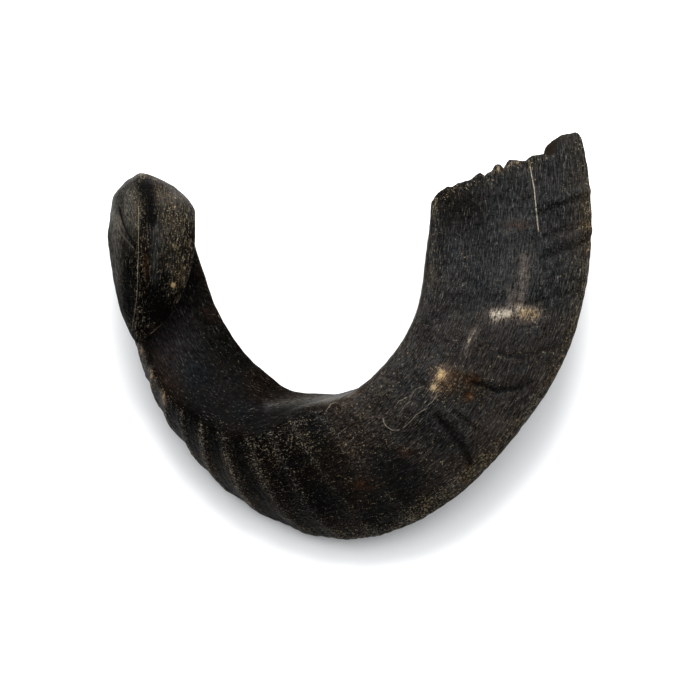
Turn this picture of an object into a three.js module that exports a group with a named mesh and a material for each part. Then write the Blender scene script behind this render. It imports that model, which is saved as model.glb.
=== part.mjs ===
import * as THREE from 'three';

// A ram's horn lying on its side, seen from above: an open, broken base at the
// right, a wide bend, and a tip that curls up and back over its own arm.
// Millimetres, +Z up, origin under the middle of the bounding box.

// The horn's section is a rounded triangle with three keels. Each station down
// the horn gives the inner, the outer and the lower keel.
const STATIONS = [
  [[34, 69, 40.5], [85, 96.5, 41.5], [47, 77.5, 1]],
  [[31.5, 38, 42.5], [92.5, 55.5, 43], [42, 39.5, 0]],
  [[27.5, 12, 43], [91, 17.5, 41.5], [34.5, 9, 0]],
  [[15.5, -11.5, 42], [77.5, -20.5, 35], [19.5, -15, 1]],
  [[0, -25.5, 41], [49, -57, 26.5], [3.5, -24.5, 3]],
  [[-19.5, -32, 39], [17, -77.5, 16], [-10.5, -25, 7]],
  [[-39, -40, 37], [-14, -79.5, 5.5], [-23.5, -22, 14]],
  [[-56.5, -36, 35], [-43, -64.5, 0], [-34, -14.5, 21.5]],
  [[-72, -22.5, 32], [-61, -43, 0], [-43.5, -4, 26.5]],
  [[-82, -2.5, 30], [-75, -17, 0], [-52.5, 11, 29]],
  [[-89, 23, 31], [-81.5, 14.5, 2.5], [-59, 28, 31]],
  [[-91.5, 38, 33.5], [-83.5, 46, 12], [-61, 40.5, 33.5]],
  [[-92, 43.5, 39], [-82.5, 61, 31], [-61, 46, 38.5]],
  [[-92, 43, 45], [-80.5, 59.5, 52], [-60, 46, 45]],
  [[-92, 37, 48.5], [-80.5, 41.5, 60], [-59.5, 37.5, 49]],
  [[-91, 22.5, 46], [-81, 23.5, 56.5], [-61.5, 24, 47]],
  [[-88.5, 9, 41], [-82, 9, 47.5], [-67.5, 9.5, 42.5]],
  [[-85, 0, 37.5], [-83, 0.5, 41], [-77, 0, 39]],
  [[-83, -3.5, 35.5], [-83, -3.5, 36.5], [-82.5, -3.5, 36]],
];
const LAST = STATIONS.length - 1;

// How far each keel is rounded, as a share of its two faces, at some stations.
const KEEL_ROUNDING = [
  [[0, 0.16], [3, 0.18], [5, 0.3], [7, 0.34], [9, 0.22], [12, 0.34], [14, 0.25], [18, 0.3]],
  [[0, 0.22], [4, 0.25], [7, 0.35], [10, 0.35], [13, 0.16], [18, 0.2]],
  [[0, 0.25], [5, 0.25], [10, 0.22], [13, 0.28], [15, 0.2], [18, 0.2]],
];
// How far each face bulges out between its keels, as a share of its width.
const FACE_BULGE = [
  [[0, 0.03], [5, 0.06], [8, 0.05], [10, 0.06], [12, 0.12], [14, 0.1], [16, 0.06], [18, 0]],
  [[0, 0.14], [4, 0.13], [6, 0.11], [10, 0.12], [12, 0.1], [15, 0.05], [18, 0]],
  [[0, 0.02], [4, 0], [6, -0.04], [9, -0.04], [12, 0.02], [18, 0.02]],
];

// Growth rings counted from the base to each station, and their height.
const RINGS = [
  0, 1.6, 3.2, 4.9, 6.7, 8.6, 10.9, 12.8, 15, 17.3,
  19.6, 21.2, 22.2, 23.1, 24, 25, 26, 26.8, 27.3,
];
const RING_HEIGHT = [
  [0, 0.4], [3, 0.5], [5, 0.9], [7, 1.2], [9, 0.9], [10, 0.4], [12, 0.15], [16, 0.1], [18, 0],
];
// The share of that height at places around the section.
const RING_SHARE = [
  [0, 0.25], [0.35, 0.9], [0.8, 1], [1, 0.4], [1.25, 0.8], [1.6, 1], [1.9, 0.3], [2.2, 0.1],
  [2.8, 0.1], [3, 0.25],
];
const ROWS_PER_RING = 5;

// The broken base edge: its mean station, and how far in millimetres the edge
// is chipped back across the broad upper face, from the inner to the outer keel.
const BASE_STATION = 0.5;
const MM_PER_STATION = 36;
const BASE_CHIPS = [
  [0, 0.4], [0.035, -0.8], [0.09, -1.7], [0.12, -0.6], [0.15, -1.8], [0.19, -0.8], [0.22, -0.3],
  [0.25, -1.1], [0.3, -1.7], [0.335, 0.5], [0.37, -0.5], [0.405, -2], [0.435, -1.6], [0.455, 0.5],
  [0.5, -1.8], [0.545, -0.3], [0.6, 1.1], [0.645, 0], [0.69, 0.6], [0.725, 2.5], [0.76, 1.5],
  [0.785, -1.8], [0.83, -2.8], [0.895, -2.7], [0.94, -1.5], [1, 2.2],
];

// The hollow that held the bony core.
const HOLLOW_WALL = 3;
const HOLLOW_END = 5.2;
const HOLLOW_ROWS = 14;

// Lengthwise lines of the surface, by face: 0 to 1 broad upper face, 1 to 2
// outer underside, 2 to 3 inner face.
const LINES = [
  0, 0.09, 0.15, 0.22, 0.3, 0.335, 0.405, 0.455, 0.5, 0.6, 0.69, 0.73, 0.785, 0.83, 0.895, 0.95,
  1, 1.06, 1.13, 1.21, 1.3, 1.44, 1.6, 1.76, 1.9,
  2, 2.08, 2.22, 2.4, 2.58, 2.74, 2.86, 2.94,
];

// Depths and heights of the folds of the tip.
const TIP_VALLEY = 2.4;
const TIP_SWELLING = 0.9;
const TIP_CREASE = 1.1;

// The underside is worn flat where it rests.
const WEAR = 0.4;
// Moves the origin under the middle of the bounding box.
const CENTRE_X = -0.35;
const CENTRE_Y = -2;

const TURN = 2 * Math.PI;

function linear(table, x) {
  if (x <= table[0][0]) return table[0][1];
  for (let i = 1; i < table.length; i += 1) {
    const [x0, y0] = table[i - 1];
    const [x1, y1] = table[i];
    if (x <= x1) return y0 + (y1 - y0) * (x - x0) / (x1 - x0);
  }
  return table[table.length - 1][1];
}

// A smooth curve through whole-numbered values.
function curve(at, u) {
  const x = Math.min(Math.max(u, 0), LAST - 1e-9);
  const i = Math.floor(x);
  const t = x - i;
  const value = (k) => {
    if (k < 0) return 2 * at(0) - at(1);
    if (k > LAST) return 2 * at(LAST) - at(LAST - 1);
    return at(k);
  };
  const t2 = t * t;
  const t3 = t2 * t;
  const w0 = (2 * t2 - t3 - t) / 2;
  const w1 = (3 * t3 - 5 * t2 + 2) / 2;
  const w2 = (4 * t2 - 3 * t3 + t) / 2;
  const w3 = (t3 - t2) / 2;
  return w0 * value(i - 1) + w1 * value(i) + w2 * value(i + 1) + w3 * value(i + 2);
}

function keelPoint(keel, u) {
  const axis = (n) => curve((k) => STATIONS[k][keel][n], u);
  return new THREE.Vector3(axis(0), axis(1), axis(2));
}

function rounding(keel, u) {
  return curve((k) => linear(KEEL_ROUNDING[keel], k), u);
}

// The distance from a keel, smoothed within the rounded zone.
function softDistance(x, reach) {
  const a = Math.abs(x) / reach;
  if (a >= 1) return Math.abs(x);
  return reach * (0.375 + 0.75 * a * a - 0.125 * a ** 4);
}

// The keels pushed out so that the rounded surface still passes through them.
function section(u) {
  const keels = [0, 1, 2].map((k) => keelPoint(k, u));
  const reach = [0, 1, 2].map((k) => rounding(k, u));
  const corners = keels.map((point, k) => {
    const push = (3 * reach[k] / 8) / (1 - 9 * reach[k] / 16);
    const middle = keels[(k + 1) % 3].clone().add(keels[(k + 2) % 3]).multiplyScalar(0.5);
    return point.clone().sub(middle).multiplyScalar(push).add(point);
  });
  return { corners, reach };
}

// A point of the smooth horn, at a station and a place around the section.
function smoothPoint(u, around) {
  const { corners, reach } = section(u);
  const near = Math.round(around);
  const x = around - near;
  const k = near % 3;
  const soft = softDistance(x, reach[k]);
  const point = corners[k].clone().multiplyScalar(1 - soft);
  point.addScaledVector(corners[(k + 1) % 3], (soft + x) / 2);
  point.addScaledVector(corners[(k + 2) % 3], (soft - x) / 2);
  const face = Math.floor(around) % 3;
  const t = around - Math.floor(around);
  const a = corners[face];
  const b = corners[(face + 1) % 3];
  const c = corners[(face + 2) % 3];
  const width = a.distanceTo(b);
  const along = b.clone().sub(a).normalize();
  const out = a.clone().add(b).multiplyScalar(0.5).sub(c);
  out.addScaledVector(along, -out.dot(along)).normalize();
  const bulge = curve((n) => linear(FACE_BULGE[face], n), u);
  return point.addScaledVector(out, bulge * width * Math.sin(Math.PI * t) ** 2);
}

function wrap(around) {
  return ((around % 3) + 3) % 3;
}

function outward(u, around) {
  const step = 0.01;
  const du = smoothPoint(u + step, around).sub(smoothPoint(u - step, around));
  const dv = smoothPoint(u, wrap(around + step)).sub(smoothPoint(u, wrap(around - step)));
  return du.cross(dv).normalize();
}

function bump(x) {
  return Math.exp(-x * x);
}

// The curled tip has a valley beside its outer keel, a swelling beyond that,
// and a short crease that runs across the other side to the keel.
function tipFolds(u, around) {
  const along = bump((u - 14.6) / 1.9) * Math.min(1, Math.max(0, (u - 11.8) / 0.8));
  const deep = bump((u - 13.3) / 0.9) + 0.4 * bump((u - 15.3) / 1.2);
  const valley = -TIP_VALLEY * bump((around - 1.21) / 0.11) * deep;
  const swelling = TIP_SWELLING * bump((around - 1.55) / 0.22) * along;
  const line = 0.27 + 0.45 * (u - 13);
  const crease = -TIP_CREASE * bump((around - line) / 0.09) * bump((u - 13.8) / 0.5);
  return valley + swelling + (around < 1.02 ? crease : 0);
}

// Growth rings, long shallow lumps, and the folds of the tip.
function relief(u, around) {
  const count = curve((k) => RINGS[k], u);
  const crest = ((1 + Math.cos(TURN * count)) / 2) ** 1.5;
  const rings = linear(RING_HEIGHT, u) * linear(RING_SHARE, around) * (crest - 0.4);
  const fade = Math.min(1, (LAST - u) / 6);
  const lumps = 0.35 * Math.sin(2.3 * u + TURN * around / 3)
    + 0.25 * Math.sin(4.1 * u - 2 * TURN * around / 3 + 1)
    + 0.2 * Math.sin(1.3 * u + 3 * TURN * around / 3 + 2);
  return rings + lumps * fade + tipFolds(u, around);
}

// The two lower faces are broken back a little further than the upper one.
function chips(around) {
  if (around <= 1) return linear(BASE_CHIPS, around);
  const share = Math.min(1, (around - 1) / 0.06, (3 - around) / 0.12);
  const broken = 4.5 + Math.sin(17 * around) + 0.8 * Math.sin(31 * around + 1);
  const keel = linear(BASE_CHIPS, around < 2 ? 1 : 0);
  return share * broken + (1 - share) * keel;
}

// The edge's chips fade out within the first stretch of the horn.
function chipped(u, around) {
  const fade = Math.max(0, 1 - (u - BASE_STATION) / 0.8);
  return u + chips(around) / MM_PER_STATION * fade;
}

function placed(point) {
  return [point.x - CENTRE_X, point.y - CENTRE_Y, Math.max(0, point.z - WEAR)];
}

function outerPoint(station, around) {
  const u = chipped(station, around);
  const point = smoothPoint(u, around);
  return placed(point.addScaledVector(outward(u, around), relief(u, around)));
}

// The middle of the circle that touches the three faces, and its radius.
function inscribed(u) {
  const { corners } = section(u);
  const sides = [0, 1, 2].map((k) => corners[(k + 1) % 3].distanceTo(corners[(k + 2) % 3]));
  const around = sides[0] + sides[1] + sides[2];
  const centre = new THREE.Vector3();
  corners.forEach((corner, k) => centre.addScaledVector(corner, sides[k] / around));
  const ab = corners[1].clone().sub(corners[0]);
  const ac = corners[2].clone().sub(corners[0]);
  return { centre, radius: ab.cross(ac).length() / around };
}

function hollowPoint(depth, around) {
  const u = chipped(BASE_STATION + (HOLLOW_END - BASE_STATION) * depth, around) + 0.01;
  const { centre, radius } = inscribed(u);
  const taper = 1 - 0.45 * depth - 0.55 * depth ** 4;
  const share = (1 - HOLLOW_WALL / radius) * taper;
  return placed(smoothPoint(u, around).sub(centre).multiplyScalar(share).add(centre));
}

// The station at which a given number of rings has been counted.
function stationOfRing(count) {
  let low = 0;
  let high = LAST;
  for (let i = 0; i < 40; i += 1) {
    const middle = (low + high) / 2;
    if (curve((k) => RINGS[k], middle) < count) low = middle;
    else high = middle;
  }
  return (low + high) / 2;
}

function buildHorn() {
  const vertices = [];
  const faces = [];
  const n = LINES.length;
  const addRow = (points) => {
    const first = vertices.length / 3;
    points.forEach((p) => vertices.push(...p));
    return first;
  };
  const joinRows = (a, b) => {
    for (let j = 0; j < n; j += 1) {
      const k = (j + 1) % n;
      faces.push(a + j, b + k, a + k, a + j, b + j, b + k);
    }
  };
  const firstRing = curve((k) => RINGS[k], BASE_STATION);
  const rows = Math.round((RINGS[LAST] - firstRing) * ROWS_PER_RING);
  let last = addRow(LINES.map((v) => outerPoint(BASE_STATION, v)));
  const rim = last;
  for (let i = 1; i <= rows; i += 1) {
    const u = stationOfRing(firstRing + i * (RINGS[LAST] - firstRing) / rows);
    const row = addRow(LINES.map((v) => outerPoint(Math.min(u, LAST - 0.02), v)));
    joinRows(last, row);
    last = row;
  }
  const tip = keelPoint(0, LAST).add(keelPoint(1, LAST)).add(keelPoint(2, LAST));
  const apex = addRow([placed(tip.multiplyScalar(1 / 3))]);
  for (let j = 0; j < n; j += 1) faces.push(last + j, apex, last + (j + 1) % n);

  let inner = addRow(LINES.map((v) => hollowPoint(0, v)));
  joinRows(inner, rim);
  for (let i = 1; i < HOLLOW_ROWS; i += 1) {
    const row = addRow(LINES.map((v) => hollowPoint(i / HOLLOW_ROWS, v)));
    joinRows(row, inner);
    inner = row;
  }
  const bottom = addRow([placed(inscribed(HOLLOW_END).centre)]);
  for (let j = 0; j < n; j += 1) faces.push(bottom, inner + j, inner + (j + 1) % n);

  const geometry = new THREE.BufferGeometry();
  geometry.setAttribute('position', new THREE.Float32BufferAttribute(vertices, 3));
  geometry.setIndex(faces);
  geometry.computeVertexNormals();
  return geometry;
}

const keratin = new THREE.MeshStandardMaterial({
  color: 0x1f1c1a,
  roughness: 0.45,
  metalness: 0,
});

const horn = new THREE.Mesh(buildHorn(), keratin);
horn.name = 'horn';

const group = new THREE.Group();
group.add(horn);

export default group;
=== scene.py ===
import math
import bpy
import numpy as np
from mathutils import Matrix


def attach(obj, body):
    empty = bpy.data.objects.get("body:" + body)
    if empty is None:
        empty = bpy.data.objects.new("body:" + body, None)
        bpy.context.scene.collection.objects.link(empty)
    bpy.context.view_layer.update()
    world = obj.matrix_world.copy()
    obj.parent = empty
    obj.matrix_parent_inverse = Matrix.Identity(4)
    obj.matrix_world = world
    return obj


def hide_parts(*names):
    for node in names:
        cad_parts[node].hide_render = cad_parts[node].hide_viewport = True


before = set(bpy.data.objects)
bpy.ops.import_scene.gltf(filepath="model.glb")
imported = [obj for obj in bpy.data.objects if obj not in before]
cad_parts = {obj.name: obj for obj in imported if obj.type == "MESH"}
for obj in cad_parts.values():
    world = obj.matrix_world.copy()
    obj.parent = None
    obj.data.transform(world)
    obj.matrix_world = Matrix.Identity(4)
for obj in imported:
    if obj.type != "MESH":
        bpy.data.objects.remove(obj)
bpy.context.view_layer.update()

# The same driving values as the solid, in millimetres: the three keels of the section at
# each station from the base to the tip, and tables by station or by place around.
STATIONS = np.array([
    [[34, 69, 40.5], [85, 96.5, 41.5], [47, 77.5, 1]],
    [[31.5, 38, 42.5], [92.5, 55.5, 43], [42, 39.5, 0]],
    [[27.5, 12, 43], [91, 17.5, 41.5], [34.5, 9, 0]],
    [[15.5, -11.5, 42], [77.5, -20.5, 35], [19.5, -15, 1]],
    [[0, -25.5, 41], [49, -57, 26.5], [3.5, -24.5, 3]],
    [[-19.5, -32, 39], [17, -77.5, 16], [-10.5, -25, 7]],
    [[-39, -40, 37], [-14, -79.5, 5.5], [-23.5, -22, 14]],
    [[-56.5, -36, 35], [-43, -64.5, 0], [-34, -14.5, 21.5]],
    [[-72, -22.5, 32], [-61, -43, 0], [-43.5, -4, 26.5]],
    [[-82, -2.5, 30], [-75, -17, 0], [-52.5, 11, 29]],
    [[-89, 23, 31], [-81.5, 14.5, 2.5], [-59, 28, 31]],
    [[-91.5, 38, 33.5], [-83.5, 46, 12], [-61, 40.5, 33.5]],
    [[-92, 43.5, 39], [-82.5, 61, 31], [-61, 46, 38.5]],
    [[-92, 43, 45], [-80.5, 59.5, 52], [-60, 46, 45]],
    [[-92, 37, 48.5], [-80.5, 41.5, 60], [-59.5, 37.5, 49]],
    [[-91, 22.5, 46], [-81, 23.5, 56.5], [-61.5, 24, 47]],
    [[-88.5, 9, 41], [-82, 9, 47.5], [-67.5, 9.5, 42.5]],
    [[-85, 0, 37.5], [-83, 0.5, 41], [-77, 0, 39]],
    [[-83, -3.5, 35.5], [-83, -3.5, 36.5], [-82.5, -3.5, 36]],
], float)
LAST = len(STATIONS) - 1
KEEL_ROUNDING = [
    [(0, 0.16), (3, 0.18), (5, 0.3), (7, 0.34), (9, 0.22), (12, 0.34), (14, 0.25), (18, 0.3)],
    [(0, 0.22), (4, 0.25), (7, 0.35), (10, 0.35), (13, 0.16), (18, 0.2)],
    [(0, 0.25), (5, 0.25), (10, 0.22), (13, 0.28), (15, 0.2), (18, 0.2)],
]
FACE_BULGE = [
    [(0, 0.03), (5, 0.06), (8, 0.05), (10, 0.06), (12, 0.12), (14, 0.1), (16, 0.06), (18, 0)],
    [(0, 0.14), (4, 0.13), (6, 0.11), (10, 0.12), (12, 0.1), (15, 0.05), (18, 0)],
    [(0, 0.02), (4, 0), (6, -0.04), (9, -0.04), (12, 0.02), (18, 0.02)],
]
RINGS = np.array([
    0, 1.6, 3.2, 4.9, 6.7, 8.6, 10.9, 12.8, 15, 17.3,
    19.6, 21.2, 22.2, 23.1, 24, 25, 26, 26.8, 27.3,
], float)
RING_HEIGHT = [
    (0, 0.4), (3, 0.5), (5, 0.9), (7, 1.2), (9, 0.9), (10, 0.4), (12, 0.15), (16, 0.1), (18, 0),
]
RING_SHARE = [
    (0, 0.25), (0.35, 0.9), (0.8, 1), (1, 0.4), (1.25, 0.8), (1.6, 1), (1.9, 0.3), (2.2, 0.1),
    (2.8, 0.1), (3, 0.25),
]
BASE_STATION = 0.5
MM_PER_M = 1000
MM_PER_STATION = 36
BASE_CHIPS = [
    (0, 0.4), (0.035, -0.8), (0.09, -1.7), (0.12, -0.6), (0.15, -1.8), (0.19, -0.8), (0.22, -0.3),
    (0.25, -1.1), (0.3, -1.7), (0.335, 0.5), (0.37, -0.5), (0.405, -2), (0.435, -1.6),
    (0.455, 0.5), (0.5, -1.8), (0.545, -0.3), (0.6, 1.1), (0.645, 0), (0.69, 0.6), (0.725, 2.5),
    (0.76, 1.5), (0.785, -1.8), (0.83, -2.8), (0.895, -2.7), (0.94, -1.5), (1, 2.2),
]
HOLLOW_WALL = 3
HOLLOW_END = 5.2
TIP_VALLEY = 2.4
TIP_SWELLING = 0.9
TIP_CREASE = 1.1
WEAR = 0.4
CENTRE = np.array([-0.35, -2.0, 0.0])

# Fine mesh: rows down the horn and the hollow, lines on each face, and rows over the
# broken edge, which rounds out away from one row of the outside, further in.
ROWS = 480
FACE_LINES = (72, 50, 46)
HOLLOW_ROWS = 50
RIM_ROWS = 4
RIM_AIM_ROW = 6
ROW_SAMPLES = 4000
TIP_GAP = 0.02

# The averaging at the inner keel: its share, its reach across the keel, the station
# that it starts at, and its rounds.
EASE = 0.9
EASE_WIDTH = 0.2
EASE_FROM = 4.2
EASE_ROUNDS = 10

# The ragged base edge and the rough hollow.
JAG = 0.016
JAG_REACH = 0.3
HOLLOW_STEP = 0.01
HOLLOW_ROUGHNESS = 0.25

# Low waves over the whole horn: height, pace along it, turns around it, and start.
LUMPS = [(0.35, 2.3, 1, 0), (0.25, 4.1, -2, 1), (0.2, 1.3, 3, 2)]
FINE_RIBS_PER_RING = 4

# The camera looks straight down from this height over this point, and marks on
# the upper side are placed in the plan grid that it sees: 700 squares of 0.4 mm each
# way, x to the right and y down.
CAMERA = np.array([0.15, -4.2, 1200.0])
SENSOR = 36
GRID = 0.4
PLAN_SIZE = 700

# Marks lie on the arm before this station and on the tip from it on. Their edges wobble
# by this many squares, over about this many millimetres.
TIP_FROM = 11.5
WOBBLE = 1.2
WOBBLE_WIDTH = 3.0


def table(pairs, x):
    """The value at x between the pairs of place and value."""
    return np.interp(x, [p[0] for p in pairs], [p[1] for p in pairs])


def curve(values, u):
    """A smooth curve through the values of the stations."""
    c = np.asarray(values, float)
    c = np.concatenate([2 * c[:1] - c[1:2], c, 2 * c[-1:] - c[-2:-1]])
    u = np.clip(u, 0, LAST - 1e-9)
    i = np.floor(u).astype(int)
    t = u - i
    t2, t3 = t * t, t * t * t
    weights = [
        (2 * t2 - t3 - t) / 2,
        (3 * t3 - 5 * t2 + 2) / 2,
        (4 * t2 - 3 * t3 + t) / 2,
        (t3 - t2) / 2,
    ]
    total = 0
    for k, w in enumerate(weights):
        total = total + (w[..., None] if c.ndim > 1 else w) * c[i + k]
    return total


def station_curve(pairs, u):
    return curve(table(pairs, np.arange(LAST + 1)), u)


def section(u):
    """The corners that the rounded keels are drawn from, and how far the rounding reaches."""
    keels = [curve(STATIONS[:, k], u) for k in range(3)]
    reach = [station_curve(KEEL_ROUNDING[k], u) for k in range(3)]
    corners = []
    for k in range(3):
        push = (3 * reach[k] / 8 / (1 - 9 * reach[k] / 16))[..., None]
        middle = (keels[(k + 1) % 3] + keels[(k + 2) % 3]) / 2
        corners.append(keels[k] + push * (keels[k] - middle))
    return corners, reach


def length(v):
    return np.linalg.norm(v, axis=-1, keepdims=True) + 1e-12


def smooth_points(u, around):
    """The plain surface: around counts the faces, from 0 at the first keel to 3 there again."""
    corners, reach = section(u)
    near = np.round(around).astype(int)
    x = (around - near)[..., None]
    near = near % 3
    face = np.floor(around).astype(int) % 3
    t = around - np.floor(around)
    points = np.zeros(u.shape + (3,))
    for k in range(3):
        a = np.abs(x) / reach[k][..., None]
        soft = np.where(
            a < 1,
            reach[k][..., None] * (0.375 + 0.75 * a ** 2 - 0.125 * a ** 4),
            np.abs(x),
        )
        part = (1 - soft) * corners[k]
        part = part + (soft + x) / 2 * corners[(k + 1) % 3]
        part = part + (soft - x) / 2 * corners[(k + 2) % 3]
        points += (near == k)[..., None] * part
    for k in range(3):
        a, b, c = corners[k], corners[(k + 1) % 3], corners[(k + 2) % 3]
        width = length(b - a)
        along = (b - a) / width
        out = (a + b) / 2 - c
        out = out - (out * along).sum(-1, keepdims=True) * along
        out = out / length(out)
        bulge = station_curve(FACE_BULGE[k], u) * np.sin(np.pi * t) ** 2 * (face == k)
        points += bulge[..., None] * width * out
    return points


def outward(points):
    down = np.gradient(points, axis=0)
    across = (np.roll(points, -1, 1) - np.roll(points, 1, 1)) / 2
    n = np.cross(down, across)
    return n / length(n)


def bump(x):
    return np.exp(-x * x)


def tip_folds(u, around):
    """The tip's valley, swelling and crease."""
    along = bump((u - 14.6) / 1.9) * np.clip((u - 11.8) / 0.8, 0, 1)
    deep = bump((u - 13.3) / 0.9) + 0.4 * bump((u - 15.3) / 1.2)
    valley = -TIP_VALLEY * bump((around - 1.21) / 0.11) * deep
    swelling = TIP_SWELLING * bump((around - 1.55) / 0.22) * along
    line = 0.27 + 0.45 * (u - 13)
    crease = -TIP_CREASE * bump((around - line) / 0.09) * bump((u - 13.8) / 0.5)
    return valley + swelling + crease * (around < 1.02)


def relief(u, around):
    """Height of the growth rings, lumps and folds, as in the solid."""
    crest = ((1 + np.cos(2 * np.pi * curve(RINGS, u))) / 2) ** 1.5
    rings = table(RING_HEIGHT, u) * table(RING_SHARE, around) * (crest - 0.4)
    turn = 2 * np.pi * around / 3
    lumps = 0
    for height, waves, turns, start in LUMPS:
        lumps = lumps + height * np.sin(waves * u + turns * turn + start)
    return rings + lumps * np.clip((LAST - u) / 6, 0, 1) + tip_folds(u, around)


def chips(around):
    """How far the base edge is broken away or stands out, in millimetres along the horn."""
    share = np.minimum(1, np.minimum((around - 1) / 0.06, (3 - around) / 0.12))
    broken = 4.5 + np.sin(17 * around) + 0.8 * np.sin(31 * around + 1)
    keel = np.where(around < 2, BASE_CHIPS[-1][1], BASE_CHIPS[0][1])
    lower = share * broken + (1 - share) * keel
    return np.where(around <= 1, table(BASE_CHIPS, around), lower)


def chipped(u, around):
    fade = np.clip(1 - (u - BASE_STATION) / 0.8, 0, None)
    return u + chips(around) / MM_PER_STATION * fade


def placed(points):
    """Points in the frame's place, with the lower side worn flat where it rests."""
    out = points - CENTRE
    out[..., 2] = np.maximum(0, out[..., 2] - WEAR)
    return out


def lattice(i, j, k, seed):
    """A value from -1 to 1 for each whole place, the same in each run."""
    h = (i * 73856093) ^ (j * 19349663) ^ (k * 83492791) ^ (seed * 2654435)
    h = (h ^ (h >> 13)) * 1274126177 & 0x7FFFFFFF
    return (h & 0xFFFF) / 32768.0 - 1


def noise(p, scale, seed=1):
    """Smooth noise from -1 to 1 with features about scale millimetres wide."""
    q = p / scale
    i = np.floor(q).astype(np.int64)
    f = q - i
    f = f * f * (3 - 2 * f)
    total = 0
    for a in (0, 1):
        for b in (0, 1):
            for c in (0, 1):
                w = (f[..., 0] if a else 1 - f[..., 0]) * (f[..., 1] if b else 1 - f[..., 1])
                w = w * (f[..., 2] if c else 1 - f[..., 2])
                total = total + w * lattice(i[..., 0] + a, i[..., 1] + b, i[..., 2] + c, seed)
    return total


def plan(points):
    """Where the camera sees points, in the plan grid."""
    k = CAMERA[2] / (CAMERA[2] - points[..., 2]) / GRID
    middle = PLAN_SIZE / 2
    return middle + (points[..., 0] - CAMERA[0]) * k, middle - (points[..., 1] - CAMERA[1]) * k


class Marks:
    """Strokes and spots laid on the upper side, each from 0 to 1."""

    def __init__(self, points, normals, u):
        self.x, self.y = plan(points)
        self.up = np.clip(normals[..., 2] * 4 + 0.6, 0, 1)
        self.arm = (u < TIP_FROM).astype(float)
        self.tip = 1 - self.arm
        self.x = self.x + WOBBLE * noise(points, WOBBLE_WIDTH, 5)
        self.y = self.y + WOBBLE * noise(points, WOBBLE_WIDTH, 9)

    def side(self, tip):
        return self.up * (self.tip if tip else self.arm)

    def distance(self, line):
        best = np.full(self.x.shape, 1e9)
        for (x0, y0), (x1, y1) in zip(line, line[1:]):
            dx, dy = x1 - x0, y1 - y0
            t = ((self.x - x0) * dx + (self.y - y0) * dy) / (dx * dx + dy * dy + 1e-9)
            t = np.clip(t, 0, 1)
            best = np.minimum(best, np.hypot(self.x - x0 - t * dx, self.y - y0 - t * dy))
        return best

    def stroke(self, line, width, tip=False):
        return bump(self.distance(line) / width) * self.side(tip)

    def spot(self, middle, radii, tip=False):
        x = (self.x - middle[0]) / radii[0]
        y = (self.y - middle[1]) / radii[1]
        return bump(np.hypot(x, y)) * self.side(tip)

    def laid(self, arm, tip):
        """The sum of the named marks on the arm and on the tip."""
        total = 0
        for marks, on_tip in ((arm, False), (tip, True)):
            for place, size, amount in marks.values():
                draw = self.spot if isinstance(size, tuple) else self.stroke
                total = total + amount * draw(place, size, on_tip)
        return total


# Low relief on the upper side, drawn in the plan grid: a line, its width, and its
# depth or height in millimetres.
GROOVES = [
    ([(545, 257), (561, 251), (578, 246), (588, 240)], 2.6, 0.8),
    ([(538, 214), (556, 207), (570, 202), (586, 199)], 2.6, 0.6),
    ([(552, 236), (566, 229), (588, 222)], 1.7, 0.4),
    ([(470, 380), (482, 386), (495, 391), (512, 390), (530, 385)], 4.0, 0.9),
    ([(437, 415), (452, 433), (462, 446), (471, 464)], 5.0, 0.8),
    ([(455, 412), (470, 424), (486, 436)], 2.5, 0.5),
    ([(500, 355), (520, 358), (545, 350), (562, 344)], 2.5, 0.4),
    ([(540, 300), (560, 296), (582, 290)], 2.0, 0.3),
]
RIDGES = [
    ([(382, 419), (389, 429), (400, 427), (420, 412), (440, 395)], 1.6, 0.5),
    ([(436, 366), (442, 378), (450, 388)], 4.0, 0.3),
    ([(496, 315), (510, 312), (535, 312)], 5.0, 0.3),
    ([(470, 372), (468, 396)], 4.0, 0.4),
    ([(300, 411), (330, 404), (352, 396)], 3.0, 0.3),
    ([(540, 206), (562, 198), (586, 190)], 4.0, 0.5),
    ([(545, 247), (566, 240), (588, 231)], 4.0, 0.4),
]

# Marks in the plan grid. A spot is its middle, its two radii and its amount. A stroke
# is its line, its width and its amount. The outline's amounts are millimetres.
TIP_OUTLINE = {
    "right shoulder": ((180, 186), (14, 12), -1.6),
    "top": ((152, 176), (8, 5), 0.7),
    "left shoulder": ((107, 209), (7, 8), -1.1),
    "upper left": ((126, 181), (7, 6), 0.8),
    "right corner": ((195, 207), (6, 7), -0.7),
}
ARM_WEAR = {
    "base corner": ((458, 203), (30, 28), -0.4),
    "middle of the arm": ((510, 260), (30, 50), 0.1),
    "fold of the bend": ((300, 432), (55, 22), 0.15),
    "inner bend": ((390, 405), (45, 18), 0.1),
    "bottom": ((370, 500), (80, 26), -0.25),
    "right of the bottom": ((470, 470), (50, 25), -0.2),
    "ribs": ((225, 460), (60, 50), 0.12),
}
TIP_WEAR = {
    "left lobe": ((124, 220), (14, 30), -0.2),
    "lower left lobe": ((126, 298), (8, 22), -0.4),
    "right lobe": ((176, 240), (16, 50), 0.3),
    "lower end": ((162, 312), (14, 14), -0.4),
}
ARM_TAN = {
    "left keel": ([(137, 341), (149, 370), (166, 402)], 4, 1.0),
    "base edge": ([(436, 200), (470, 184), (505, 166), (545, 158)], 7, 0.6),
    "left side of the arm": ([(434, 200), (434, 245), (428, 290)], 4, 0.4),
    "double patch, right half": ((530, 314), (12, 9), 0.9),
    "gold patch": ((440, 380), (14, 14), 0.7),
    "right of the gold patch": ((470, 385), (34, 16), 0.6),
    "fold of the bend": ((300, 440), (60, 22), 0.25),
    "bottom edge": ([(300, 530), (350, 532), (400, 524), (440, 506)], 5, 0.6),
}
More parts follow.
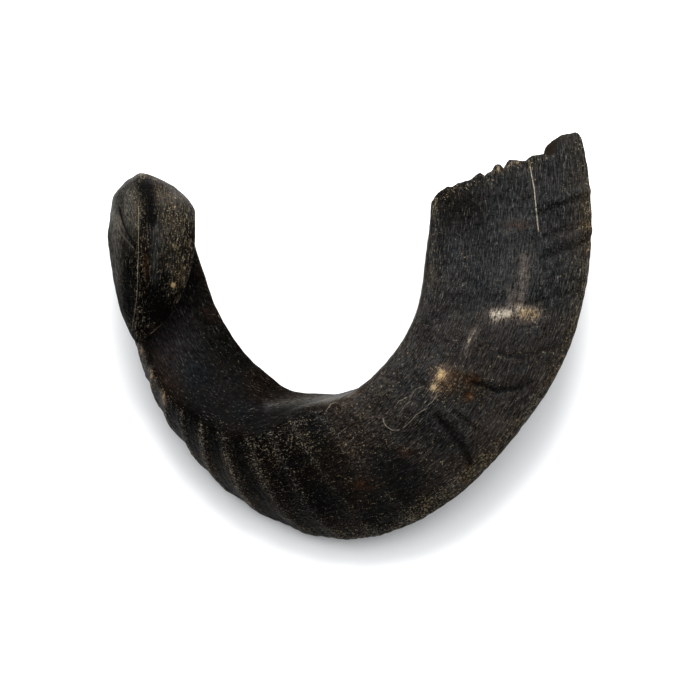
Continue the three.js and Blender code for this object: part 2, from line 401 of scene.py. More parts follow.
TIP_TAN = {
    "gold spot": ((173, 285), (8, 7), 1.0),
    "small gold spot": ((184, 268), (6, 8), 1.0),
    "right lobe": ((176, 250), (15, 34), 0.8),
    "right shoulder": ((172, 212), (20, 14), 0.4),
}
ARM_BLUE = {
    "fold of the bend": ((300, 425), (30, 12), 0.6),
    "right of the fold": ((345, 425), (26, 14), 0.4),
    "inner face": ([(155, 335), (180, 370), (215, 400), (262, 418)], 18, 0.7),
}
TIP_BLUE = {
    "beside the valley": ([(150, 205), (154, 230), (155, 285)], 5, 0.6),
}
# Painted sheen on the arm, more or less of it at each place.
ARM_PAINTED_SHEEN = {
    "base corner": ((456, 203), (26, 24), -0.25),
    "middle of the arm": ((512, 262), (26, 55), 0.17),
    "left side of the arm": ([(435, 200), (434, 245), (429, 290), (420, 318)], 3.5, 0.2),
    "beside the left side": ([(440, 225), (440, 300), (428, 330), (408, 362)], 8, -0.12),
    "between the upper grooves": ((560, 210), (20, 14), -0.1),
    "above the grooves": ((565, 190), (18, 8), 0.1),
    "inner face": ((175, 350), (26, 22), 0.12),
    "sheen at the inner bend": ([(268, 406), (300, 400), (330, 399), (356, 394)], 4.5, 0.45),
    "left keel": ([(130, 340), (146, 372), (166, 408)], 3, 0.3),
}
# Painted sheen on the tip's lobes, edges and shoulder.
TIP_PAINTED_SHEEN = {
    "left lobe": ((130, 212), (8, 26), 1.1),
    "left edge": ((115, 232), (6, 34), 0.8),
    "lower left edge": ((118, 275), (5, 34), 0.45),
    "right shoulder": ((168, 196), (22, 11), 0.75),
    "right lobe": ((170, 232), (17, 30), 0.45),
    "lower right lobe": ((178, 275), (10, 18), 0.3),
    "beside the valley": ([(154, 224), (155, 250), (155, 278)], 4.5, 0.4),
}
# Painted shade: less painted sheen in the tip's valley and crease.
TIP_SHADED_FOLDS = {
    "valley": ([(146, 186), (150, 205), (151, 222)], 5, -0.6),
    "crease": ([(119, 211), (125, 225), (135, 247)], 2.2, -0.3),
}
# Pale marks on the arm; the sheen at the inner bend is a painted highlight.
ARM_PALE = {
    "double patch, left half": ([(495, 315), (507, 314)], 8, 0.75),
    "double patch, right half": ([(521, 313), (534, 314)], 8, 0.65),
    "gap in the double patch": ([(514, 308), (514, 324)], 1.6, -0.4),
    "beside the long scratch": ((530, 168), (6, 4), 0.5),
    "base edge": ([(496, 170), (508, 165), (518, 162)], 3, 0.6),
    "base corner": ([(437, 198), (437, 206)], 4, 0.35),
    "soft streak": ([(524, 255), (523, 285), (517, 304)], 5.5, 0.2),
    "short streak": ([(474, 330), (469, 340)], 3, 0.5),
    "end of the short streak": ([(468, 341), (464, 354)], 3, 0.25),
    "gold patch": ((441, 375), (7, 7), 0.8),
    "left of the gold patch": ((434, 388), (5, 7), 0.8),
    "right of the gold patch": ((450, 386), (6, 6), 0.5),
    "upper rust spot": ((470, 379), (3.2, 2.6), 0.7),
    "lower rust spot": ((470, 397), (3, 3), 0.7),
    "left fleck": ((493, 362), (3.5, 3), 0.55),
    "right fleck": ((528, 366), (3, 5), 0.5),
    "scratched patch": ((412, 402), (12, 10), 0.25),
    "left keel": ([(138, 342), (146, 364), (157, 388), (166, 402)], 2.4, 0.3),
    "left side of the arm": ([(434, 198), (434, 240), (430, 280), (420, 318)], 2.4, 0.25),
    "sheen at the inner bend": ([(270, 406), (307, 398), (352, 396)], 3, 0.3),
}
# Pale marks on the tip; the left edge line is a painted highlight.
TIP_PALE = {
    "left edge": ([(112, 250), (117, 285), (124, 312), (131, 333)], 1.8, 0.25),
    "gold spot": ((173, 285), (4.5, 4), 0.9),
    "small gold spot": ((185, 268), (2.5, 5), 0.6),
    "upper gold spot": ((177, 246), (7, 3), 0.5),
}
ARM_VEIL = {
    "soft streak": ([(525, 258), (524, 285), (518, 304)], 5, 0.4),
    "beside the soft streak": ([(511, 290), (512, 303)], 4, 0.25),
    "short streak": ([(475, 330), (469, 341), (465, 352)], 3.5, 0.35),
    "double patch, left half": ([(495, 315), (507, 314)], 8, 0.6),
    "double patch, right half": ([(521, 313), (535, 314)], 8, 0.45),
    "gold patch": ((442, 374), (9, 8), 0.35),
    "left of the gold patch": ((434, 388), (6, 8), 0.3),
    "left keel": ([(137, 341), (149, 370), (163, 399)], 2.6, 0.3),
}
ARM_RUST = {
    "upper rust spot": ((472, 380), (7, 6), 1.0),
    "lower rust spot": ((470, 397), (6, 5), 0.9),
    "gold patch": ((447, 381), (14, 14), 0.45),
    "red spot of the bend": ((405, 451), (7, 6), 0.35),
    "red spot of the bottom": ((365, 485), (12, 6), 0.35),
    "below the long scratch": ((520, 225), (14, 4), 0.3),
    "inner face": ((210, 312), (8, 8), 0.15),
}
TIP_RUST = {
    "beside the valley": ((146, 264), (2.5, 16), 0.35),
}
ARM_DARK = {
    "between the rust spots": ((470, 388), (14, 12), 0.4),
    "bottom": ((335, 480), (16, 36), 0.5),
    "above the bottom": ((322, 448), (16, 16), 0.45),
    "right of the bottom": ((385, 478), (20, 9), 0.3),
    "low on the arm": ((460, 468), (12, 9), 0.35),
    "above the double patch": ([(513, 301), (528, 303), (541, 300)], 1.6, 0.6),
}
# Painted shade in the tip's valley; darker spots at its lower left lobe and lower end.
TIP_DARK = {
    "valley": ([(144, 184), (149, 200), (150, 220)], 6.5, 1.2),
    "lower left lobe": ((128, 292), (6, 26), 0.5),
    "lower end": ((162, 318), (12, 9), 0.5),
}
RIGHT_OUTLINE = [(590, 200), (588, 290), (570, 355), (535, 412), (495, 453), (450, 490), (405, 518)]
RIGHT_OUTLINE_WIDTH = 9
GOLD_PATCH = (444, 379)
GOLD_PATCH_RADII = (13, 14)
BROWN_CORNER = (450, 205)
BROWN_CORNER_RADII = (24, 24)

# How strong each marking is along the horn, by station.
RUGGED = [(0, 0.5), (3, 0.6), (5, 1), (9, 0.9), (11, 0.5), (18, 0.4)]
FINE_RIBS = [(0, 0.3), (4, 0.6), (6, 1), (9, 1), (11, 0.3), (18, 0.1)]
RIBBED = [(3, 0), (5, 0.6), (7, 1), (8.6, 0.9), (9.6, 0.3), (10.5, 0)]
FIBROUS = [(0, 0.9), (3.5, 0.8), (5, 0.2), (9, 0.3), (11, 0.5), (18, 0.7)]
WEAR_ALONG = [(0, 0.45), (3, 0.5), (4.5, 0.35), (5.5, 0.28), (8, 0.3), (11, 0.4), (18, 0.5)]
TAN_ALONG = [(0, 0.35), (1, 0.15), (3, 0.3), (5, 0.5), (9, 0.4), (12, 0.3), (18, 0.3)]
BLUE_ALONG = [(0, 0.7), (3, 0.7), (4, 0.6), (5, 0.4), (7, 0.3), (9, 0.3), (18, 0.15)]
# Painted sheen along the horn, on the upper face and on the inner face.
PAINTED_SHEEN_ALONG = [(0, 0.38), (2, 0.45), (3.5, 0.42), (4.6, 0.2), (5.5, 0.04), (9, 0.0), (12, 0.1)]
INNER_PAINTED_SHEEN_ALONG = [(3, 0.25), (6, 0)]
RIBS_FROM = 6


def fine_relief(points, u, around, marks):
    """Height of the low relief that the solid leaves out, in millimetres."""
    rugged = table(RUGGED, u) * np.where(around < 2, 1, 0.35)
    h = rugged * (0.35 * noise(points, 9.0, 2) + 0.22 * noise(points, 4.0, 3))
    rim = bump((around - 1.25) / 0.4)
    h = h * (1 - 0.8 * rim) - 0.8 * rim * relief(u, around)
    h = h + 0.1 * noise(points, 1.9, 6)
    count = curve(RINGS, u) + 0.25 * noise(points, 14.0, 4)
    h = h + 0.12 * table(FINE_RIBS, u) * np.sin(2 * np.pi * FINE_RIBS_PER_RING * count) * (around < 2)
    for line, width, depth in GROOVES:
        h = h - depth * marks.stroke(line, width)
    for line, width, height in RIDGES:
        h = h + height * marks.stroke(line, width)
    return h + marks.laid({}, TIP_OUTLINE)


def inscribed(u):
    """The middle and radius of the circle that fits in each section."""
    corners, _ = section(u)
    sides = [length(corners[(k + 1) % 3] - corners[(k + 2) % 3]) for k in range(3)]
    total = sum(sides)
    centre = sum(c * s for c, s in zip(corners, sides)) / total
    area = length(np.cross(corners[1] - corners[0], corners[2] - corners[0]))
    return centre, area / total


def face_lines():
    return np.concatenate([face + np.arange(n) / n for face, n in enumerate(FACE_LINES)])


def even_rows():
    """Stations at even steps along the outer side, and the length run up to each station."""
    u = np.linspace(BASE_STATION, LAST - TIP_GAP, ROW_SAMPLES)
    path = sum(smooth_points(u, np.full(u.shape, a)) for a in (0.5, 1.0)) / 2
    run = np.concatenate([[0], np.cumsum(np.linalg.norm(np.diff(path, axis=0), axis=1))])
    return np.interp(np.linspace(0, run[-1], ROWS), run, u), run, u


def local_section(points, u):
    """Places across the section at each point, for grain that runs lengthwise."""
    corners, _ = section(u)
    centre = sum(corners) / 3
    x = corners[1] - corners[0]
    x = x / length(x)
    z = corners[2] - (corners[0] + corners[1]) / 2
    z = z - (z * x).sum(-1, keepdims=True) * x
    z = z / length(z)
    d = points - centre
    return (d * x).sum(-1), (d * z).sum(-1)


def eased(points, u, around):
    """The surface averaged a little at the inner keel, where the bends crowd the rows."""
    share = EASE * bump((around - 2) / EASE_WIDTH) * np.clip(u - EASE_FROM, 0, 1)
    share = share[1:-1, :, None]
    points = points.copy()
    for _ in range(EASE_ROUNDS):
        nearby = np.roll(points, 1, axis=1) + np.roll(points, -1, axis=1)
        nearby = (nearby[1:-1] + points[:-2] + points[2:]) / 4
        points[1:-1] += share * (nearby - points[1:-1])
    return points


def outer_surface(rows, lines):
    """The outside: its points, their stations, the points without relief, and the markings."""
    u, around = np.meshgrid(rows, lines, indexing="ij")
    u = chipped(u, around)
    jag = noise(np.stack([around * 40, u * 0, u * 0], -1), 1.4, 21)
    u = u + jag * JAG * np.clip(1 - (u - BASE_STATION) / JAG_REACH, 0, 1)
    smooth = smooth_points(u, around)
    normals = outward(smooth)
    points = smooth + normals * relief(u, around)[..., None]
    marks = Marks(placed(points), normals, u)
    points = points + normals * fine_relief(points, u, around, marks)[..., None]
    points = eased(points, u, around)
    return points, u, smooth, colours(points, u, around, marks)


def hollow_surface(lines):
    """The inside of the hollow, from its mouth to its end, and the stations of its points."""
    depth = np.linspace(0, 1, HOLLOW_ROWS + 1)[:-1]
    v, around = np.meshgrid(depth, lines, indexing="ij")
    u = chipped(BASE_STATION + (HOLLOW_END - BASE_STATION) * v, around) + HOLLOW_STEP
    centre, radius = inscribed(u)
    share = (1 - HOLLOW_WALL / radius) * (1 - 0.45 * v - 0.55 * v ** 4)[..., None]
    points = centre + share * (smooth_points(u, around) - centre)
    out = (points - centre) / length(points - centre)
    return points + HOLLOW_ROUGHNESS * noise(points, 4.0, 31)[..., None] * out, u


def broken_rim(inner_edge, outer_edge, further_in):
    """Rows over the thickness of the wall at the base, rounded and rough."""
    out = (outer_edge + inner_edge) / 2 - further_in
    out = out / length(out)
    rim = []
    for k in range(1, RIM_ROWS):
        t = k / RIM_ROWS
        edge = inner_edge * (1 - t) + outer_edge * t
        lift = 0.7 * math.sin(math.pi * t) + 0.5 * noise(edge, 1.6, 33)
        rim.append(edge + out * lift[..., None])
    return np.array(rim)


def grid_faces(n_rows, n):
    """Quads between the rows, and a fan of triangles to a point at each end."""
    i, j = np.meshgrid(np.arange(n_rows - 1), np.arange(n), indexing="ij")
    k = (j + 1) % n
    quads = np.stack([i * n + j, (i + 1) * n + j, (i + 1) * n + k, i * n + k], -1).reshape(-1, 4)
    first, last = n_rows * n, n_rows * n + 1
    base = (n_rows - 1) * n
    around = [(a, (a + 1) % n) for a in range(n)]
    fan_in = [(first, a, b) for a, b in around]
    fan_out = [(base + a, last, base + b) for a, b in around]
    return quads.tolist() + fan_in + fan_out


def build_horn():
    lines = face_lines()
    rows, run, run_u = even_rows()
    points, u, smooth, colour = outer_surface(rows, lines)
    inner, inner_u = hollow_surface(lines)
    rim = broken_rim(inner[0], points[0], smooth[RIM_AIM_ROW])

    grid = np.concatenate([inner[::-1], rim, points])
    inside = len(inner) + len(rim)
    all_u = np.concatenate([inner_u[::-1], np.repeat(inner_u[:1], len(rim), 0), u])
    amounts = {name: np.zeros(grid.shape[:2]) for name in [*colour, "inside"]}
    for name, values in colour.items():
        amounts[name][inside:] = values
    amounts["inside"][:len(inner)] = 1
    amounts["inside"][len(inner):inside] = 0.6

    flat = placed(grid)
    start = placed(inscribed(np.array([HOLLOW_END]))[0])[0]
    tip = placed(STATIONS[LAST].mean(0)[None])[0]
    vertices = np.concatenate([flat.reshape(-1, 3), [start, tip]]) / MM_PER_M
    mesh = bpy.data.meshes.new("sheep_horn")
    mesh.from_pydata(vertices.tolist(), [], grid_faces(*grid.shape[:2]))

    for name, values in amounts.items():
        data = np.concatenate([values.reshape(-1), [values[0].mean(), values[-1].mean()]])
        mesh.attributes.new(name, "FLOAT", "POINT").data.foreach_set("value", data)
    grain = np.stack([np.interp(all_u, run_u, run), *local_section(grid, all_u)], -1)
    plan_x, plan_y = plan(flat)
    seen = np.stack([plan_x, plan_y, plan_x * 0], -1)
    for name, values in (("grain", grain), ("plan", seen)):
        data = np.concatenate([values.reshape(-1, 3), values[0, :1], values[-1, :1]])
        mesh.attributes.new(name, "FLOAT_VECTOR", "POINT").data.foreach_set("vector", data.ravel())
    mesh.shade_smooth()
    mesh.validate()
    horn = bpy.data.objects.new("sheep_horn", mesh)
    bpy.context.collection.objects.link(horn)
    return horn


def colours(points, u, around, marks):
    """Amounts from 0 to 1 of each marking, at each point of the outer surface."""
    broad = noise(points, 18.0, 41)
    patchy = noise(points, 7.0, 42)
    upper = (around < 1).astype(float)
    inner = (around >= 2).astype(float)
    inner_middle = inner * bump((around - 2.5) / 0.3)
    to_outer = bump((around - 1) / 0.16)
    wave = np.cos(2 * np.pi * curve(RINGS, u))
    ribbed = table(RIBBED, u) * (1 - inner)
    crest = ((1 + wave) / 2) ** 5 * ribbed
    valley = ((1 - wave) / 2) ** 3 * ribbed
    edge = marks.stroke(RIGHT_OUTLINE, RIGHT_OUTLINE_WIDTH)

    fibrous = np.maximum(table(FIBROUS, u), 0.8 * inner)
    wear_and_highlight = table(WEAR_ALONG, u) * (1 - 0.8 * inner) + 0.08 * broad + 0.06 * patchy
    # More flecks at the ring crests, partly wear and partly painted highlight.
    wear_and_highlight = wear_and_highlight + 0.25 * to_outer + 0.5 * crest + 0.35 * edge * (1 + 0.5 * patchy)
    wear_and_highlight = wear_and_highlight + marks.laid(ARM_WEAR, TIP_WEAR)

    tan = table(TAN_ALONG, u) + 0.5 * edge + 0.5 * to_outer - 0.5 * inner
    tan = tan + 0.15 * broad + 0.15 * patchy + marks.laid(ARM_TAN, TIP_TAN)

    brown = marks.spot(BROWN_CORNER, BROWN_CORNER_RADII)
    blue = table(BLUE_ALONG, u) * upper * (1 - 0.6 * to_outer) * (1 - 0.7 * brown)
    blue = blue + 0.9 * inner_middle * bump((u - 9.5) / 2)
    blue = blue * (1 - 0.8 * marks.tip) + marks.laid(ARM_BLUE, TIP_BLUE)

    # Painted sheen: a lighter tone that stands in for reflected light, on the upper and inner faces,
    # near the outer keel and on the ring crests.
    painted_sheen = table(PAINTED_SHEEN_ALONG, u) * upper + table(INNER_PAINTED_SHEEN_ALONG, u) * inner
    painted_sheen = painted_sheen + 0.05 * inner + 0.1 * inner_middle * bump((u - 9) / 2.5)
    painted_sheen = painted_sheen * (1 + 0.35 * broad + 0.3 * patchy) * (1 - marks.tip * upper)
    painted_sheen = painted_sheen + 0.1 * to_outer * (u < 5) + 0.12 * crest * upper
    painted_sheen = painted_sheen + 1.2 * (1 + 0.4 * patchy) * marks.laid({}, TIP_PAINTED_SHEEN)
    painted_sheen = painted_sheen + marks.laid(ARM_PAINTED_SHEEN, TIP_SHADED_FOLDS)

    pale = marks.laid(ARM_PALE, TIP_PALE)
    pale = pale + 0.5 * patchy * marks.spot(GOLD_PATCH, GOLD_PATCH_RADII)
    # Pale ring crests past RIBS_FROM, partly wear and partly painted highlight.
    pale = pale + 0.4 * crest * (1 + patchy) * (u > RIBS_FROM) * (1 - to_outer)
    veil = marks.laid(ARM_VEIL, {})
    rust = marks.laid(ARM_RUST, TIP_RUST) + 0.15 * np.clip(broad, 0, 1)

    # Painted shade: darker in the ring valleys past RIBS_FROM and along the grooves, added to the
    # listed dark spots.
    dark = marks.laid(ARM_DARK, TIP_DARK) + 0.9 * valley * (u > RIBS_FROM)
    for line, width, depth in GROOVES:
        dark = dark + 0.9 * depth * (1 + 0.5 * patchy) * marks.stroke(line, width * 0.8)

    result = {
        "wear_and_highlight": wear_and_highlight, "tan": tan, "blue": blue, "pale": pale, "rust": rust, "dark": dark,
        "fibrous": fibrous, "painted_sheen": painted_sheen, "veil": veil,
        "arm_up": marks.side(False), "tip_up": marks.side(True),
    }
    return {name: np.clip(value, 0, 1) for name, value in result.items()}


class Nodes:
    """Short calls for building a material's nodes."""

    def __init__(self, name):
        self.material = bpy.data.materials.new(name)
        self.material.use_nodes = True
        self.tree = self.material.node_tree
        self.shader = self.tree.nodes["Principled BSDF"]

    def link(self, value, socket):
        if isinstance(value, (int, float, tuple)):
            socket.default_value = value
        else:
            self.tree.links.new(value, socket)

    def node(self, kind, inputs=None, **settings):
        n = self.tree.nodes.new(kind)
        for key, value in settings.items():
            setattr(n, key, value)
        for key, value in (inputs or {}).items():
            self.link(value, n.inputs[key])
        return n

    def attribute(self, name, output="Fac"):
        return self.node("ShaderNodeAttribute", attribute_name=name).outputs[output]

    def math(self, operation, a, b=0.0, clamp=False):
        n = self.node("ShaderNodeMath", {0: a, 1: b}, operation=operation, use_clamp=clamp)
        return n.outputs[0]

    def plus(self, a, b):
        return self.math("ADD", a, b)

    def minus(self, a, b):
        return self.math("SUBTRACT", a, b)

    def times(self, a, b):
        return self.math("MULTIPLY", a, b)

    def larger(self, a, b):
        return self.math("MAXIMUM", a, b)

    def vector(self, operation, a, b, output=0):
        inputs = {0: a, 3 if operation == "SCALE" else 1: b}
        return self.node("ShaderNodeVectorMath", inputs, operation=operation).outputs[output]

    def noise(self, vector, scale, detail=3.0, rough=0.6):
        inputs = {"Vector": vector, "Scale": scale, "Detail": detail, "Roughness": rough}
        return self.node("ShaderNodeTexNoise", inputs).outputs["Fac"]

    def ramp(self, value, low, high, strength=1.0):
        """From 0 at low to the strength at high, and level beyond them."""
        inputs = {"Value": value, "From Min": low, "From Max": high, "To Max": strength}
        return self.node("ShaderNodeMapRange", inputs, clamp=True).outputs[0]

    def mixed(self, amount, a, b):
        return self.node("ShaderNodeMix", {0: amount, 2: a, 3: b}, data_type="FLOAT").outputs[0]

    def mix(self, amount, a, b):
        """A colour between two, each a socket or red, green and blue."""
        n = self.node("ShaderNodeMix", {"Factor": amount}, data_type="RGBA")
        self.link(a if not isinstance(a, tuple) else a + (1.0,), n.inputs[6])
        self.link(b if not isinstance(b, tuple) else b + (1.0,), n.inputs[7])
        return n.outputs[2]

    def wobbled(self, place, value, amount):
        shift = self.times(self.minus(value, 0.5), amount)
        return self.vector("ADD", place, self.vector("SCALE", LINE_WOBBLE, shift))

    def lines(self, place, marks):
        """How close a place in the plan grid is to thin lines, from 0 to their strength."""
        total = 0.0
        for line, width, strength in marks:
            nearest = FAR
            for (x0, y0), (x1, y1) in zip(line, line[1:]):
                d = (x1 - x0, y1 - y0, 0.0)
                size = d[0] ** 2 + d[1] ** 2
                step = self.vector("SUBTRACT", place, (float(x0), float(y0), 0.0))
                t = self.vector("DOT_PRODUCT", step, (d[0] / size, d[1] / size, 0.0), 1)
                t = self.math("ADD", t, 0.0, clamp=True)
                off = self.vector("SUBTRACT", step, self.vector("SCALE", d, t))
                off = self.vector("LENGTH", off, (0.0, 0.0, 0.0), 1)
                nearest = self.math("MINIMUM", off, nearest)
            near = self.ramp(nearest, width * LINE_END, width * LINE_CORE, strength)
            total = self.larger(near, total)
        return total


# Thin marks, drawn in the plan grid: a line, its half width, and how strong it is.
SCRATCHES = [
    ([(530, 167), (534, 187), (537, 217), (538.5, 231)], 0.55, 0.9),
    ([(383, 418), (384, 423), (387, 427), (392, 430), (399, 430)], 0.5, 0.5),
    ([(403, 428), (411, 421), (416, 415), (425, 409)], 0.45, 0.55),
    ([(427, 406), (433, 401), (437, 395)], 0.4, 0.4),
    ([(394, 408), (399, 401), (407, 397)], 0.35, 0.45),
    ([(399, 414), (405, 405), (411, 401)], 0.35, 0.4),
    ([(411, 396), (416, 389), (424, 386)], 0.4, 0.4),
    ([(386, 414), (390, 409)], 0.4, 0.3),
    ([(326, 411), (331, 404), (336, 402)], 0.4, 0.4),
    ([(338, 434), (346, 428)], 0.5, 0.4),
]
# Painted highlights: light lines along the tip's keels and edges.
TIP_EDGE_HIGHLIGHTS = [
    ([(138.5, 206), (138.5, 250), (137, 296), (132, 330)], 0.4, 0.4),
    ([(190, 277), (182, 302), (168, 320), (151, 334)], 0.7, 0.8),
    ([(117, 222), (122, 235), (134, 249)], 0.8, 0.12),
]
# Painted shade on the tip: dark lines in its crease, in its valley and beside its keel.
TIP_CREASE_SHADE = [
    ([(119, 207), (122, 219), (127, 232), (136, 248)], 0.9, 0.9),
    ([(143, 181), (148, 192), (150, 206), (150, 222)], 2.6, 0.9),
    ([(140, 240), (139, 290), (133, 328)], 0.8, 0.5),
]
# A thin mark is full up to the first of these shares of its half width, and gone at
# the second.
LINE_CORE = 0.4
LINE_END = 1.6
LINE_WOBBLE = (1.0, 0.6, 0.0)
FAR = 1000.0

# The horn's colours, with those of its painted sheen, highlights and shade, in linear red, green and
# blue.
NEAR_BLACK = (0.0005, 0.0008, 0.0009)
DARK_BROWN = (0.0034, 0.0019, 0.0012)
# Colours of the painted sheen.
WARM_PAINTED_SHEEN = (0.098, 0.090, 0.077)
BLUE_PAINTED_SHEEN = (0.088, 0.096, 0.107)
TAN_PAINTED_SHEEN = (0.094, 0.077, 0.053)
DARK_THREAD = (0.010, 0.010, 0.010)
WARM_FLECK = (0.54, 0.475, 0.385)
BLUE_FLECK = (0.39, 0.40, 0.41)
TAN_FLECK = (0.58, 0.455, 0.295)
GOLD_GRAIN = (0.27, 0.225, 0.15)
RUST = (0.13, 0.055, 0.022)
VEIL = (0.25, 0.205, 0.175)
PALE_WEAR_AND_HIGHLIGHT = (0.44, 0.41, 0.36)
GOLD_WEAR_AND_HIGHLIGHT = (0.44, 0.33, 0.19)
SCRATCH_AND_HIGHLIGHT = (0.34, 0.30, 0.24)
# Colour of the painted shade and the dark spots.
SHADE_AND_DARK_MARKS = (0.0022, 0.002, 0.002)
INSIDE_BROWN = (0.035, 0.026, 0.017)

# Textures, in features a millimetre for the fibres and streaks, and a metre for the rest.
FIBRE_SCALE = (0.3, 2.2, 2.2)
STREAK_SCALE = (0.02, 0.4, 0.4)
GRIT_SCALE = 1500.0
CRUMB_SCALE = 600.0
MOTTLE_SCALE = 150.0
HUE_SCALE = 90.0
GRAIN_SCALE = 1100.0

# Flecks, grains and pale places of wear and painted highlight show where their noise passes a start,
# and fully after the reach. Wear with the painted crest highlight, tan and paleness bring the start
# down.
FLECK_START = 0.585
FLECK_WEAR = 0.18
FLECK_REACH = 0.24
FLECK_POWER = 2.0
GRAIN_START = 0.70
GRAIN_TAN = 0.12
GRAIN_REACH = 0.05
PALE_MARK_START = 0.68
PALE_MARK_PALENESS = 0.4
PALE_MARK_REACH = 0.14

ROUGHNESS = 0.30
IOR = 1.33
SPECULAR_LEVEL = 0.13
BUMP_DISTANCE = 0.0011


def flecked(m, place, texture):
    """The horn's colour, of dark keratin or painted sheen, with flecks and grains, and the flecks."""
    tan, wear_and_highlight, blue = m.attribute("tan"), m.attribute("wear_and_highlight"), m.attribute("blue")
    painted_sheen = m.attribute("painted_sheen")
    mottle = texture["mottle"]
    hue = m.noise(place, HUE_SCALE, 2.0, 0.5)
    dark = m.mix(m.ramp(hue, 0.4, 0.62), NEAR_BLACK, DARK_BROWN)
    # The painted sheen's colour, warm or blue, with tan and dark threads.
    smooth = m.mix(blue, WARM_PAINTED_SHEEN, BLUE_PAINTED_SHEEN)
    smooth = m.mix(m.times(tan, m.ramp(mottle, 0.3, 0.7)), smooth, TAN_PAINTED_SHEEN)
    smooth = m.mix(m.times(m.ramp(texture["fibres"], 0.60, 0.36), 0.85), smooth, DARK_THREAD)
    # Where the painted sheen is set, the dark base turns to the sheen's colour.
    dark = m.mix(painted_sheen, dark, smooth)
    light = m.mix(blue, WARM_FLECK, BLUE_FLECK)
    light = m.mix(m.times(tan, m.ramp(mottle, 0.35, 0.65)), light, TAN_FLECK)

    fleck = m.mixed(m.attribute("fibrous"), texture["grit"], texture["fibres"])
    fleck = m.plus(fleck, m.times(m.minus(mottle, 0.5), 0.12))
    fleck = m.plus(fleck, m.times(m.minus(texture["streaks"], 0.5), 0.14))
    start = m.minus(FLECK_START, m.times(wear_and_highlight, FLECK_WEAR))
    fleck = m.math("POWER", m.ramp(fleck, start, m.plus(start, FLECK_REACH)), FLECK_POWER)
    shown = m.math("SUBTRACT", 1.0, m.times(painted_sheen, 1.3), clamp=True)
    body = m.mix(m.times(fleck, shown), dark, light)

    start = m.minus(GRAIN_START, m.times(tan, GRAIN_TAN))
    grains = m.noise(place, GRAIN_SCALE, 2.0, 0.7)
    grains = m.ramp(grains, start, m.plus(start, GRAIN_REACH))
    return m.mix(m.times(grains, 0.75), body, GOLD_GRAIN), fleck


def marked(m, body, texture):
    """The colour with its rust, pale patches of wear and painted highlight, scratches, painted edge
    highlights and painted shade, and the pale patches.
    """
    crumbs, fibres = texture["crumbs"], texture["fibres"]
    rust = m.times(m.attribute("rust"), m.ramp(crumbs, 0.35, 0.55))
    body = m.mix(m.times(rust, 0.75), body, RUST)
    veil = m.times(m.attribute("veil"), m.ramp(fibres, 0.3, 0.56))
    body = m.mix(veil, body, VEIL)

    pale = m.attribute("pale")
    broken = m.mixed(m.attribute("fibrous"), crumbs, m.plus(fibres, 0.03))
    start = m.minus(PALE_MARK_START, m.times(pale, PALE_MARK_PALENESS))
    pale_wear_and_highlight = m.times(m.ramp(broken, start, m.plus(start, PALE_MARK_REACH)), pale)
    body = m.mix(pale_wear_and_highlight, body, m.mix(m.attribute("tan"), PALE_WEAR_AND_HIGHLIGHT, GOLD_WEAR_AND_HIGHLIGHT))

    seen = m.wobbled(m.attribute("plan", "Vector"), crumbs, 1.2)
    arm_up, tip_up = m.attribute("arm_up"), m.attribute("tip_up")
    scratches = m.times(m.times(m.lines(seen, SCRATCHES), arm_up), m.ramp(crumbs, 0.28, 0.5))
    tip_highlights = m.times(m.lines(seen, TIP_EDGE_HIGHLIGHTS), tip_up)
    crease_shade = m.times(m.lines(seen, TIP_CREASE_SHADE), tip_up)
    # Scratches on the arm, and painted highlights on the tip's edges.
    body = m.mix(m.larger(scratches, tip_highlights), body, SCRATCH_AND_HIGHLIGHT)
    # Painted shade and dark spots, and painted shade in the tip's folds.
    body = m.mix(m.larger(m.times(m.attribute("dark"), 0.85), crease_shade), body, SHADE_AND_DARK_MARKS)
    return m.mix(m.times(m.attribute("inside"), 0.8), body, INSIDE_BROWN), pale_wear_and_highlight


def keratin():
    m = Nodes("horn_keratin")
    place = m.node("ShaderNodeTexCoord").outputs["Object"]
    grain = m.attribute("grain", "Vector")
    texture = {
        "fibres": m.noise(m.vector("MULTIPLY", grain, FIBRE_SCALE), 1.0, 2.0),
        "streaks": m.noise(m.vector("MULTIPLY", grain, STREAK_SCALE), 1.0),
        "grit": m.noise(place, GRIT_SCALE, 2.0),
        "crumbs": m.noise(place, CRUMB_SCALE, 3.0, 0.7),
        "mottle": m.noise(place, MOTTLE_SCALE, 4.0, 0.65),
    }
    body, fleck = flecked(m, place, texture)
    body, pale_wear_and_highlight = marked(m, body, texture)
    m.link(body, m.shader.inputs["Base Color"])

    rough = m.plus(ROUGHNESS, m.times(texture["mottle"], 0.2))
    rough = m.plus(rough, m.times(fleck, 0.15))
    rough = m.math("ADD", rough, m.times(pale_wear_and_highlight, 0.2), clamp=True)
    m.link(rough, m.shader.inputs["Roughness"])
    m.shader.inputs["IOR"].default_value = IOR
    m.shader.inputs["Specular IOR Level"].default_value = SPECULAR_LEVEL

    height = m.plus(m.times(fleck, 0.5), m.times(texture["crumbs"], 0.8))
    height = m.plus(height, m.times(texture["streaks"], 0.6))
    inputs = {"Height": height, "Strength": 1.0, "Distance": BUMP_DISTANCE}
    m.link(m.node("ShaderNodeBump", inputs).outputs[0], m.shader.inputs["Normal"])
    return m.material


def pale_floor():
    m = Nodes("pale_floor")
    m.shader.inputs["Base Color"].default_value = FLOOR_COLOUR
    m.shader.inputs["Roughness"].default_value = 0.9
    m.shader.inputs["Specular IOR Level"].default_value = 0.0
    mesh = bpy.data.meshes.new("floor")
    a = FLOOR_HALF_WIDTH
    mesh.from_pydata([(-a, -a, 0), (a, -a, 0), (a, a, 0), (-a, a, 0)], [], [(0, 1, 2, 3)])
    mesh.materials.append(m.material)
    floor = bpy.data.objects.new("floor", mesh)
    bpy.context.collection.objects.link(floor)
    return floor


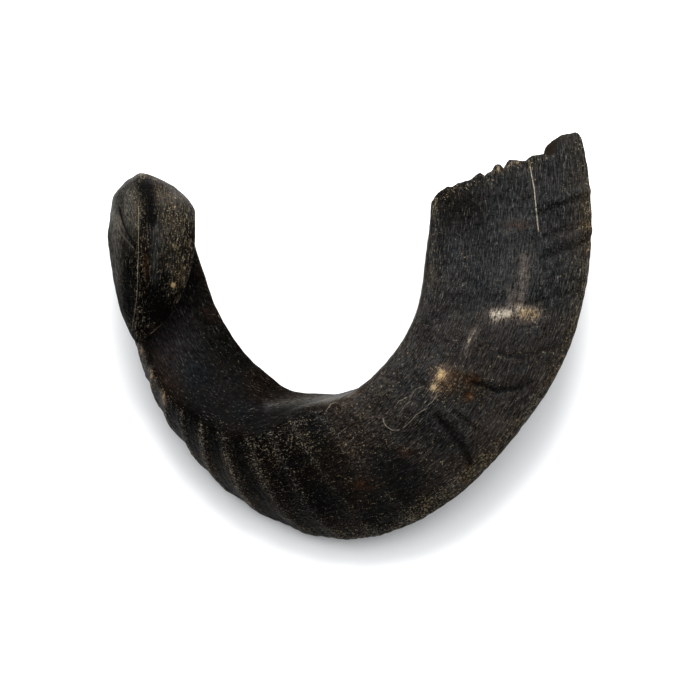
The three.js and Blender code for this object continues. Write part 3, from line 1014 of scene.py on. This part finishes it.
def key_light():
    """A round light that looks at the middle of the floor."""
    data = bpy.data.lights.new("key", "AREA")
    data.shape = "DISK"
    data.size = KEY_SIZE
    data.energy = KEY_POWER
    data.color = KEY_COLOUR
    light = bpy.data.objects.new("key", data)
    light.location = KEY_PLACE
    x, y, z = KEY_PLACE
    light.rotation_euler = (math.atan2(math.hypot(x, y), z), 0, math.atan2(x, -y))
    bpy.context.collection.objects.link(light)


def soft_studio():
    """Soft light all round, strongest from above and beyond the horn, weak from this side."""
    world = bpy.data.worlds.new("studio")
    world.use_nodes = True
    tree = world.node_tree
    link = tree.links.new
    place = tree.nodes.new("ShaderNodeTexCoord").outputs["Generated"]
    towards = tree.nodes.new("ShaderNodeVectorMath")
    towards.operation = "DOT_PRODUCT"
    towards.inputs[1].default_value = SKY_FROM
    link(place, towards.inputs[0])
    split = tree.nodes.new("ShaderNodeSeparateXYZ")
    link(place, split.inputs[0])
    sky = tree.nodes.new("ShaderNodeMapRange")
    sky.interpolation_type = "SMOOTHSTEP"
    link(towards.outputs["Value"], sky.inputs["Value"])
    horizon = tree.nodes.new("ShaderNodeMapRange")
    link(split.outputs["Z"], horizon.inputs["Value"])
    for spread, values in ((sky, SKY_RANGE), (horizon, HORIZON_RANGE)):
        for name, value in zip(("From Min", "From Max", "To Min", "To Max"), values):
            spread.inputs[name].default_value = value
    total = tree.nodes.new("ShaderNodeMath")
    total.operation = "MAXIMUM"
    link(sky.outputs[0], total.inputs[0])
    link(horizon.outputs[0], total.inputs[1])
    background = tree.nodes["Background"]
    background.inputs["Color"].default_value = SKY_COLOUR
    link(total.outputs[0], background.inputs["Strength"])
    bpy.context.scene.world = world


FLOOR_COLOUR = (0.88, 0.88, 0.88, 1)
FLOOR_HALF_WIDTH = 4.0
KEY_PLACE = (0.0, 1.2, 1.22)
KEY_SIZE = 0.7
KEY_POWER = 17
KEY_COLOUR = (1.0, 0.99, 0.97)

# Where the soft light comes from, and its fall-off: from the first cosine to
# the second it grows from the third to the fourth strength. Near the horizon it
# fades in the same way by height.
SKY_FROM = (0.0, 0.69, 0.724)
SKY_RANGE = (0.15, 0.97, 0.03, 2.0)
HORIZON_RANGE = (0.05, 0.12, 1.0, 0.0)
SKY_COLOUR = (0.97, 0.985, 1.0, 1)

horn = build_horn()
horn.data.materials.append(keratin())
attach(horn, "root")
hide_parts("horn")
pale_floor()

key_light()
soft_studio()
bpy.context.scene.view_settings.view_transform = "Standard"
bpy.context.scene.view_settings.look = "High Contrast"

camera = bpy.data.cameras.new("camera")
camera.sensor_width = SENSOR
camera.lens = SENSOR * CAMERA[2] / (PLAN_SIZE * GRID)
camera_object = bpy.data.objects.new("camera", camera)
camera_object.location = CAMERA / MM_PER_M
bpy.context.collection.objects.link(camera_object)
bpy.context.scene.camera = camera_object
